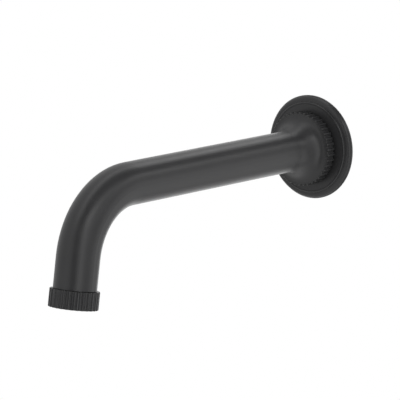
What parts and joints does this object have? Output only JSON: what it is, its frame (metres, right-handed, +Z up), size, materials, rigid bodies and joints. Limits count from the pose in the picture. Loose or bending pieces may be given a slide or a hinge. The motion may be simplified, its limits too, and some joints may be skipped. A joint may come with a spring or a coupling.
{
  "type": "bath spout",
  "caption": "Wall-mounted bath spout: round tube bent down to a fluted outlet ring, with a fluted collar and a stepped round wall flange.",
  "frame": {"origin": "centre of the wall flange's rear face, on the axis of the inlet", "axes": "+Z up, +Y into the wall along the inlet, the spout reaches along -Y, X across"},
  "size_m": [0.065, 0.2517, 0.1007],
  "materials": {
    "black_coating": "satin",
    "nipple_brass": "satin",
    "screw_steel": "satin",
    "seal_rubber": "matte",
    "gasket_foam": "matte",
    "aerator_plastic": "satin",
    "filter_plastic": "satin"
  },
  "bodies": {
    "root": {"spout_body": "black_coating", "wall_flange": "black_coating", "outlet_ring": "black_coating", "inlet_nipple": "nipple_brass", "grub_screw": "screw_steel", "flange_o_ring": "seal_rubber", "nipple_o_ring_rear": "seal_rubber", "nipple_o_ring_front": "seal_rubber", "outlet_washer": "seal_rubber", "wall_gasket": "gasket_foam", "aerator_housing": "aerator_plastic", "aerator_jet_plate": "aerator_plastic", "aerator_insert_upper": "aerator_plastic", "aerator_insert_lower": "aerator_plastic", "aerator_grille": "aerator_plastic", "aerator_filter": "filter_plastic"}
  },
  "joints": []
}
